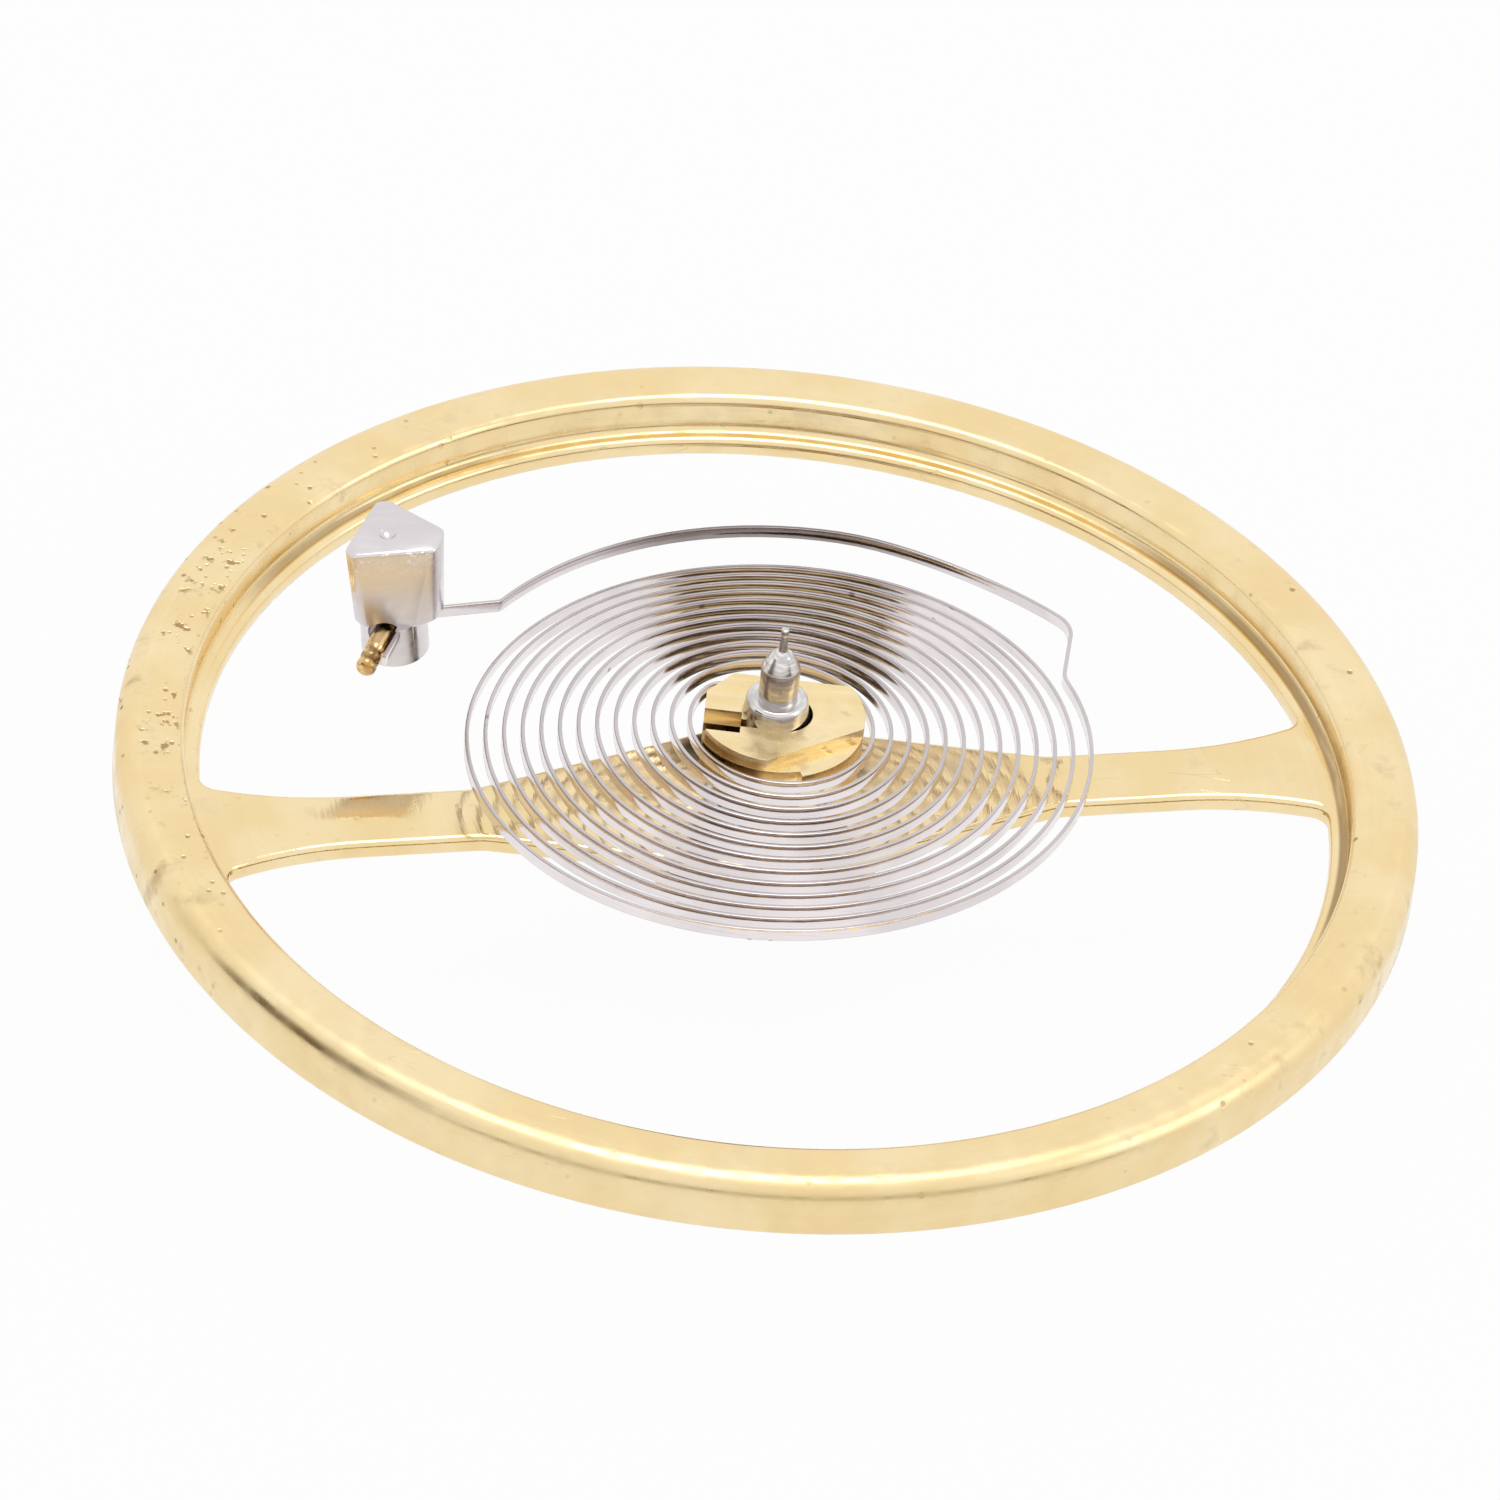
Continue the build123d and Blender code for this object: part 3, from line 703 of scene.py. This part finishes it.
# Double roller and jewel

rollerForm = {
    "table": 0.9, "tableThickness": 0.22, "tube": 0.34, "safety": 0.46, "crescent": 0.17,
    "jewel": 0.15, "jewelFlat": 0.05, "jewelOrbit": 0.68, "jewelAzimuth": 285.6, "jewelTip": 0.03,
    "tableRound": 0.02, "safetyRound": 0.015, "jewelRound": 0.012,
}


def jewelRod(form, low, high):
    bm = rod(form["jewel"], low, high)
    cutAway(bm, form["jewel"] - form["jewelFlat"])
    bmesh.ops.translate(bm, verts=bm.verts, vec=(form["jewelOrbit"], 0, 0))
    bmesh.ops.rotate(bm, verts=bm.verts, cent=(0, 0, 0), matrix=turnAbout(form["jewelAzimuth"]))
    bmesh.ops.recalc_face_normals(bm, faces=bm.faces)
    return bm


def makeTable():
    form = rollerForm
    arbor, tube, table = staffForm["arbor"], form["tube"], form["table"]
    tableBase = hubBase - form["tableThickness"]
    bm = bmesh.new()
    lathe(bm, [(arbor, tubeBase), (tube, tubeBase), (tube, tableBase), (table, tableBase),
               (table, hubBase), (arbor, hubBase)], {3: form["tableRound"], 4: form["tableRound"]})
    combine(bm, jewelRod(form, tableBase - cutPast, hubBase + cutPast))
    standFor(finishPiece(bm, "rollerTable", agedAndShadedGilt), "roller_table", "balance")


def makeSafetyRoller():
    form = rollerForm
    arbor, outer = staffForm["arbor"], form["safety"]
    bm = bmesh.new()
    lathe(bm, [(arbor, safetyLow), (outer, safetyLow), (outer, safetyHigh), (arbor, safetyHigh)], {})
    hollow = polar(outer + form["crescent"] / 2, form["jewelAzimuth"])
    combine(bm, rod(form["crescent"], safetyLow - cutPast, safetyHigh + cutPast, hollow.xy))
    piece = finishPiece(bm, "safetyRoller", agedAndShadedGilt, form["safetyRound"])
    standFor(piece, "safety_roller", "balance")


def makeJewel():
    form = rollerForm
    bm = jewelRod(form, jewelLow, jewelHigh)
    tip = [e for e in bm.edges if e.calc_face_angle(0) > realCorner
           and max(v.co.z for v in e.verts) < jewelLow + joined]
    bevelEdges(bm, tip, form["jewelTip"], 1)  # a plain chamfer
    standFor(finishPiece(bm, "impulseJewel", ruby, form["jewelRound"]), "impulse_jewel", "balance")


makeTable()
makeSafetyRoller()
makeJewel()
print("made the rollers and the jewel")


# Collet

colletForm = {
    "neck": 0.46, "neckHeight": 0.22, "flange": 0.63, "flangeHeight": 0.33, "plate": 0.6,
    "nose": 0.685, "noseAzimuth": 22, "backFlat": 0.41, "cornerFlat": 0.525, "cornerAzimuth": 143,
    "frontFlat": 0.469, "frontAzimuth": -54, "gateFlat": 0.54, "gateWidth": 0.25, "gateOffset": 0.18,
    "gateHeight": 1, "slit": 0.09, "slitHeight": 2, "bore": 0.255, "relief": 0.235, "reliefShift": 0.05,
    "edgeRound": 0.01,
}


def colletLayer(form, radius, flats, base, height):
    # a half disc with a wider nose on one side, cut by upright flats
    bm = bmesh.new()
    step = form["nose"] - radius
    trace(bm, (0, -form["nose"], 0), 0, [
        (form["nose"], 180), (0, 90), (step, 0), (0, -90), (radius, 180), (0, -90), (step, 0),
    ])
    slab(bm, base, height)
    bmesh.ops.rotate(bm, verts=bm.verts, cent=(0, 0, 0), matrix=turnAbout(form["noseAzimuth"]))
    for distance, azimuth in flats:
        cutAway(bm, distance, azimuth)
    bmesh.ops.recalc_face_normals(bm, faces=bm.faces)
    return bm


def makeCollet():
    form = colletForm
    flats = [(form["backFlat"], 90), (form["cornerFlat"], form["cornerAzimuth"]), (form["gateFlat"], 180)]
    flangeBase = colletBase + form["neckHeight"]
    plateBase = flangeBase + form["flangeHeight"]
    bm = colletLayer(form, form["flange"], flats, flangeBase, form["flangeHeight"])
    flats.append((form["frontFlat"], form["frontAzimuth"]))
    plate = colletLayer(form, form["plate"], flats, plateBase, plateTop - plateBase)
    gate = (2 * (form["gateFlat"] - form["bore"]), form["gateWidth"], form["gateHeight"])
    combine(plate, block(gate, (-form["gateFlat"], -form["gateOffset"], plateTop)))
    combine(bm, plate, "UNION")
    combine(bm, rod(form["neck"], colletBase, flangeBase), "UNION")
    low, high = colletBase - cutPast, plateTop + cutPast
    combine(bm, rod(form["bore"], low, high))
    combine(bm, rod(form["relief"], low, high, (form["reliefShift"], 0)))
    slit = (2 * form["gateFlat"], form["slit"], form["slitHeight"])
    combine(bm, block(slit, (-form["gateFlat"], -form["gateOffset"], flangeBase)))
    piece = finishPiece(bm, "splitCollet", satinGilt, form["edgeRound"])
    standFor(piece, "collet", "balance")


makeCollet()
print("made the collet")


# Hairspring

springForm = {
    "thickness": 0.03, "height": 0.1, "edgeRound": 0.006, "edgeSegments": 2, "weldLength": 0.5,
    "leadBend": 0.18, "leadAngle": 58, "pitch": 0.14, "firstRadius": 0.7025, "shift": 0.02,
    "coils": 12, "tailAngle": 25.9, "stepRadius": 0.28, "stepAngle": 28.1, "stepLength": 0.46,
    "shoulderRadius": 0.33, "shoulderAngle": 50.8, "terminalRise": 0.375, "terminalAngle": 98.9,
    "heelRadius": 0.06, "heelAngle": 38.3, "tailLength": 0.652, "studBend": 0.06, "studBendAngle": 56,
    "stripEnd": 0.6,
    # the coils droop outwards and tilt, and the terminal curve comes back to the level of the stud
    "innerLevel": 2.11, "innerRadius": 0.72, "outerLevel": 1.904, "outerRadius": 2.41, "tiltX": 0.065,
    "tiltY": -0.0504, "settleBefore": 0.4, "settleAfter": 1.6,
}
afterCoils, heldStill = 8, 3  # steps of the strip's path behind its coils, and those that never move


def springSteps(form):
    weldLine = colletForm["backFlat"] + form["thickness"] / 2
    bend = math.radians(form["leadAngle"])
    lead = (weldLine - form["leadBend"] * (1 - math.cos(bend))) / math.cos(bend)
    left = form["firstRadius"] - form["pitch"] / 4 - form["shift"]
    weldEnd = lead - left - (lead - form["leadBend"]) * math.sin(bend)
    start = Vector((weldEnd + form["weldLength"], weldLine, 0))
    steps = [(form["weldLength"], 0), (form["leadBend"], form["leadAngle"]), (lead, 90 - form["leadAngle"])]
    half = 2 * form["coils"] + 1
    steps += [(form["firstRadius"] + turn * form["pitch"] / 2, 180) for turn in range(half)]
    tail = form["firstRadius"] + half * form["pitch"] / 2
    steps += [
        (tail, form["tailAngle"]), (form["stepRadius"], -form["stepAngle"]), (form["stepLength"], 0),
        (form["shoulderRadius"], form["shoulderAngle"]),
        (tail + form["terminalRise"], form["terminalAngle"]),
        (form["heelRadius"], -form["heelAngle"]), (form["tailLength"], 0),
        (form["studBend"], form["studBendAngle"]), (form["stripEnd"], 0),
    ]
    return start, steps


def ease(value, low, high):
    share = min(1.0, max(0.0, (value - low) / (high - low)))
    return share * share * (3 - 2 * share)


def coilDrop(form, place, gone, coilEnd):
    # how far a point of the strip, gone millimetres along it, lies above or below the stud's level
    reach, inner = form["outerRadius"], form["innerRadius"]
    share = min(1.0, max(0.0, (place.xy.length - inner) / (reach - inner)))
    tilt = form["tiltX"] * place.x + form["tiltY"] * place.y
    coil = form["innerLevel"] + share * (form["outerLevel"] + tilt - form["innerLevel"])
    settle = ease(gone, coilEnd - form["settleBefore"], coilEnd + form["settleAfter"])
    return (coil - springMiddle) * (1 - settle)


def makeSpring():
    form = springForm
    start, steps = springSteps(form)
    side = form["thickness"] / 2
    offset = [(size - math.copysign(side, turn) if turn else size, turn) for size, turn in steps]
    bm = bmesh.new()
    along = bm.verts.layers.float.new("alongStrip")
    path = trace(bm, start + Vector((0, -side, 0)), 180, offset)
    for one, two in zip(path, path[1:]):
        two[along] = one[along] + (two.co - one.co).length
    lengths = [size if turn == 0 else size * math.radians(abs(turn)) for size, turn in steps]
    coilEnd, studStart = sum(lengths[:-afterCoils]), sum(lengths[:-heldStill])
    shiftGrown(bm, bmesh.ops.extrude_edge_only(bm, edges=bm.edges[:]), form["height"])
    bmesh.ops.solidify(bm, geom=bm.faces[:], thickness=form["thickness"])
    bmesh.ops.recalc_face_normals(bm, faces=bm.faces)
    long = [e for e in bm.edges if e.calc_face_angle(0) > realCorner
            and abs(e.verts[0].co.z - e.verts[1].co.z) < 1e-6]
    bevelEdges(bm, long, form["edgeRound"], form["edgeSegments"])
    for v in bm.verts:
        v.co.z += coilDrop(form, v.co, v[along], coilEnd) + springLow
    piece = finishPiece(bm, "flatHairspring", springAlloy)
    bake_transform(piece)
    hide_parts("hairspring")


makeSpring()
print("made the hairspring")


# Stud and its taper pin

studForm = {
    "place": (-2.9756, 1.0335), "azimuth": 19.2, "level": springMiddle, "foot": 0.26, "footBelow": 0.29,
    "shoulderAbove": 0.06, "shoulderRise": 0.08, "headAbove": 0.83, "head": 0.4, "headShift": (0.03, 0.02),
    "flats": ((0.2586, -82), (0.2882, 54), (0.269, 161.4)), "edgeRound": 0.036, "edgeAbove": 0.5,
    "fineness": 9, "dimple": 0.065, "pinBore": 0.125, "stripBore": 0.08, "boreAngle": 56, "boreReach": 0.6,
    "taper": 0.1, "coneOver": 1.02, "edgeSegments": 3,
}

pinForm = {
    "rear": -0.34, "middle": 0.3, "front": 0.66, "thick": 0.084, "middleShare": 0.97, "thin": 0.074,
    "side": 0.002,
    # share of the thin end's radius, and distance behind the front
    "knob": ((1.12, 0.24), (0.92, 0.21), (0.92, 0.19), (1.12, 0.15), (1, 0.11), (0.8, 0.095),
             (1.08, 0.065), (1.05, 0.02), (0.7, 0)),
    "fine": 0.012, "endRound": 0.02, "roundSteps": 64,
}


def leanStud(bm):
    pivot = Matrix.Translation((*studForm["place"], studForm["level"] + studLean["pivot"]))
    axis = Vector((0, 0, 1)).cross(polar(1, studLean["azimuth"]))
    bm.transform(pivot @ Matrix.Rotation(math.radians(studLean["angle"]), 4, axis) @ pivot.inverted())


def layInBore(bm, azimuth):
    # turns a rod that stands on its end to lie along the azimuth at the spring's level
    form = studForm
    place = Matrix.Translation((*form["place"], form["level"]))
    bm.transform(place @ Matrix.Rotation(math.radians(azimuth), 4, "Z")
                 @ Matrix.Rotation(math.radians(90), 4, "Y"))


def studHead(form, base, top):
    # a prism of three flats joined by arcs, with rounded edges, a taper and a cone down to the foot
    head, flats = form["head"], form["flats"]
    halves = [math.degrees(math.acos(distance / head)) for distance, azimuth in flats]
    following = zip(flats[1:] + flats[:1], halves[1:] + halves[:1])
    steps = []
    for (distance, azimuth), half, ((_, after), halfAfter) in zip(flats, halves, following):
        arc = (after - azimuth) % 360 - half - halfAfter
        steps += [(2 * head * math.sin(math.radians(half)), 0), (0, half), (head, arc), (0, halfAfter)]
    bm = bmesh.new()
    trace(bm, polar(head, flats[0][1] - halves[0]), flats[0][1] + 90, steps, form["fineness"])
    slab(bm, base - slack, top - base + slack)
    edges = [e for e in bm.edges if e.calc_face_angle(0) > form["edgeAbove"]
             and max(v.co.z for v in e.verts) > base]
    bevelEdges(bm, edges, form["edgeRound"], form["edgeSegments"])
    for v in bm.verts:
        v.co.xy *= 1 - form["taper"] * (top - v.co.z) / (top - base)
    wide, high = form["coneOver"] * head, top + cutPast
    cone = bmesh.new()
    lathe(cone, [(0, base), (form["foot"], base), (wide, base + form["shoulderRise"]), (wide, high),
                 (0, high)], {})
    combine(bm, cone, "INTERSECT")
    bmesh.ops.translate(bm, verts=bm.verts, vec=(*(Vector(form["place"]) + Vector(form["headShift"])), 0))
    return bm


def makeStud():
    form = studForm
    base = form["level"] + form["shoulderAbove"]
    top = form["level"] + form["headAbove"]
    bm = studHead(form, base, top)
    combine(bm, rod(form["foot"], form["level"] - form["footBelow"], base + slack, form["place"]), "UNION")
    bore = rod(form["pinBore"], -form["boreReach"], form["boreReach"])
    layInBore(bore, form["azimuth"] + 180 + form["boreAngle"])
    combine(bm, bore)
    entry = rod(form["stripBore"], 0, form["boreReach"])
    layInBore(entry, form["azimuth"])
    combine(bm, entry)
    dimple = form["dimple"]
    combine(bm, rod(0, top - dimple, top + dimple, form["place"], 2 * dimple))
    leanStud(bm)
    standFor(finishPiece(bm, "springStud", studSteel), "hairspring_stud", "stud_end")


def makePin():
    form = pinForm
    rear, front, thick, thin = form["rear"], form["front"], form["thick"], form["thin"]
    profile = [(0, rear), (thick, rear), (form["middleShare"] * thick, form["middle"])]
    profile += [(share * thin, front - behind) for share, behind in form["knob"]] + [(0, front)]
    rounds = dict.fromkeys((1, 3, 6, 9, 10), form["fine"])
    rounds.update({1: form["endRound"], 10: form["endRound"]})
    bm = bmesh.new()
    lathe(bm, profile, rounds, form["roundSteps"])
    azimuth = studForm["azimuth"] + 180 + studForm["boreAngle"]
    layInBore(bm, azimuth)
    bmesh.ops.translate(bm, verts=bm.verts, vec=polar(form["side"], azimuth - 90))
    leanStud(bm)
    standFor(finishPiece(bm, "taperPin", pinBrass), "stud_pin", "stud_end")


makeStud()
makePin()
print("made the stud and its pin")


# Camera: focal length and centre are in pixels of the square picture

view = {
    "elevation": 38.975, "roll": 6.718, "distance": 0.1998, "focal": 26164.0, "centre": (769.54, 765.34),
    "picture": 1500, "sensor": 36, "clip": (0.01, 10),
}


def makeCamera():
    up, turn, picture = math.radians(view["elevation"]), math.radians(view["roll"]), view["picture"]
    back = Vector((0, -math.cos(up), math.sin(up)))
    level, rise = Vector((1, 0, 0)), Vector((0, math.sin(up), math.cos(up)))
    right = level * math.cos(turn) + rise * math.sin(turn)
    above = rise * math.cos(turn) - level * math.sin(turn)
    data = bpy.data.cameras.new("camera")
    camera = bpy.data.objects.new("camera", data)
    bpy.context.scene.collection.objects.link(camera)
    place = Matrix((right, above, back)).transposed().to_4x4()
    place.translation = back * view["distance"] + Vector((0, 0, rimTop * mm))
    camera.matrix_world = place
    data.sensor_width = view["sensor"]
    data.lens = view["focal"] * data.sensor_width / picture
    data.shift_x = (picture / 2 - view["centre"][0]) / picture
    data.shift_y = (view["centre"][1] - picture / 2) / picture
    data.clip_start, data.clip_end = view["clip"]
    bpy.context.scene.camera = camera


makeCamera()
print("placed the camera")


# Floor, cards and light, in metres

studio = {
    "floorSize": 0.8, "floorLevel": -0.00002, "floorWhite": 0.85, "glow": 0.96, "worldLight": 0.55,
    "cardSteps": 48, "discSteps": 64,
}

lamps = {  # place, size and power
    "overhead": ((0, 0.02, 0.16), 0.09, 0.05),
    "rightSide": ((0.14, -0.02, 0.10), 0.08, 0.02),
}

cards = {  # radius, foot, top, first azimuth, sweep and colour
    "darkCardLeft": (0.0105, 0.0016, 0.0062, 196, 30, (0.2, 0.14, 0.06)),
    "darkCardFront": (0.08, 0.006, 0.022, 226, 110, (0.42, 0.35, 0.23)),
}

# painted shade: a dark disc under the balance, seen only by the polished metal, stands in for the floor's
# shadow
floorShadowDisc = {"radius": 0.00095, "level": -0.00001, "colour": (0.17, 0.125, 0.08)}


def plainMaterial(name, colour):
    material = bpy.data.materials.new(name)
    material.use_nodes = True
    shader = material.node_tree.nodes["Principled BSDF"]
    shader.inputs["Base Color"].default_value = (*colour, 1)
    shader.inputs["Roughness"].default_value = 1
    shader.inputs["Specular IOR Level"].default_value = 0
    return material, material.node_tree, shader


def stageObject(bm, name, material):
    mesh = bpy.data.meshes.new(name)
    bm.to_mesh(mesh)
    bm.free()
    made = bpy.data.objects.new(name, mesh)
    bpy.context.scene.collection.objects.link(made)
    mesh.materials.append(material)
    return made


def whiteToEye(tree):
    # 1 for rays that show the background to the eye, straight or in metal and glass
    path = tree.nodes.new("ShaderNodeLightPath")
    seen = path.outputs["Is Camera Ray"]
    for ray in ("Is Glossy Ray", "Is Transmission Ray"):
        either = tree.nodes.new("ShaderNodeMath")
        either.operation = "MAXIMUM"
        tree.links.new(seen, either.inputs[0])
        tree.links.new(path.outputs[ray], either.inputs[1])
        seen = either.outputs[0]
    return seen


def makeFloor():
    bm = bmesh.new()
    bmesh.ops.create_grid(bm, x_segments=1, y_segments=1, size=studio["floorSize"] / 2)
    bmesh.ops.translate(bm, verts=bm.verts, vec=(0, 0, studio["floorLevel"]))
    material, tree, shader = plainMaterial("palePaper", (studio["floorWhite"],) * 3)
    glow = tree.nodes.new("ShaderNodeEmission")
    mix = tree.nodes.new("ShaderNodeMixShader")
    share = tree.nodes.new("ShaderNodeMath")
    share.operation = "MULTIPLY"
    share.inputs[1].default_value = studio["glow"]
    tree.links.new(whiteToEye(tree), share.inputs[0])
    tree.links.new(share.outputs[0], mix.inputs[0])
    tree.links.new(shader.outputs[0], mix.inputs[1])
    tree.links.new(glow.outputs[0], mix.inputs[2])
    tree.links.new(mix.outputs[0], tree.nodes["Material Output"].inputs["Surface"])
    stageObject(bm, "floor", material)


def makeWorld():
    world = bpy.data.worlds.new("tent")
    bpy.context.scene.world = world
    world.use_nodes = True
    tree = world.node_tree
    ground = tree.nodes["Background"]
    ground.inputs["Color"].default_value = (1, 1, 1, 1)
    level = tree.nodes.new("ShaderNodeMapRange")
    level.inputs["To Min"].default_value = studio["worldLight"]
    level.inputs["To Max"].default_value = 1.0
    tree.links.new(whiteToEye(tree), level.inputs["Value"])
    tree.links.new(level.outputs[0], ground.inputs["Strength"])


def makeLamp(name, place, size, power):
    data = bpy.data.lights.new(name, "AREA")
    data.shape = "DISK"
    data.size = size
    data.energy = power
    lamp = bpy.data.objects.new(name, data)
    bpy.context.scene.collection.objects.link(lamp)
    lamp.location = place
    lamp.rotation_euler = (-Vector(place)).to_track_quat("-Z", "Y").to_euler()


def hangCard(bm, name, colour):
    # a dark card that only the polished metal sees
    card = stageObject(bm, name, plainMaterial(name, colour)[0])
    card.visible_camera = False
    card.visible_diffuse = False
    card.visible_shadow = False


def makeCard(name, radius, low, high, start, sweep, colour):
    bm = bmesh.new()
    tip = bm.verts.new(polar(radius, start, low))
    bmesh.ops.spin(bm, geom=[tip], cent=(0, 0, 0), axis=(0, 0, 1), angle=math.radians(sweep),
                   steps=studio["cardSteps"])
    shiftGrown(bm, bmesh.ops.extrude_edge_only(bm, edges=bm.edges[:]), high - low)
    hangCard(bm, name, colour)


def makeFloorShadowDisc():
    bm = bmesh.new()
    bmesh.ops.create_circle(bm, cap_ends=True, segments=studio["discSteps"], radius=floorShadowDisc["radius"])
    bmesh.ops.translate(bm, verts=bm.verts, vec=(0, 0, floorShadowDisc["level"]))
    hangCard(bm, "floorShadowStandIn", floorShadowDisc["colour"])


makeFloor()
makeWorld()
for name, values in lamps.items():
    makeLamp(name, *values)
for name, values in cards.items():
    makeCard(name, *values)
makeFloorShadowDisc()
print("made the floor, the cards and the light")

scene = bpy.context.scene
scene.view_settings.view_transform = "Standard"
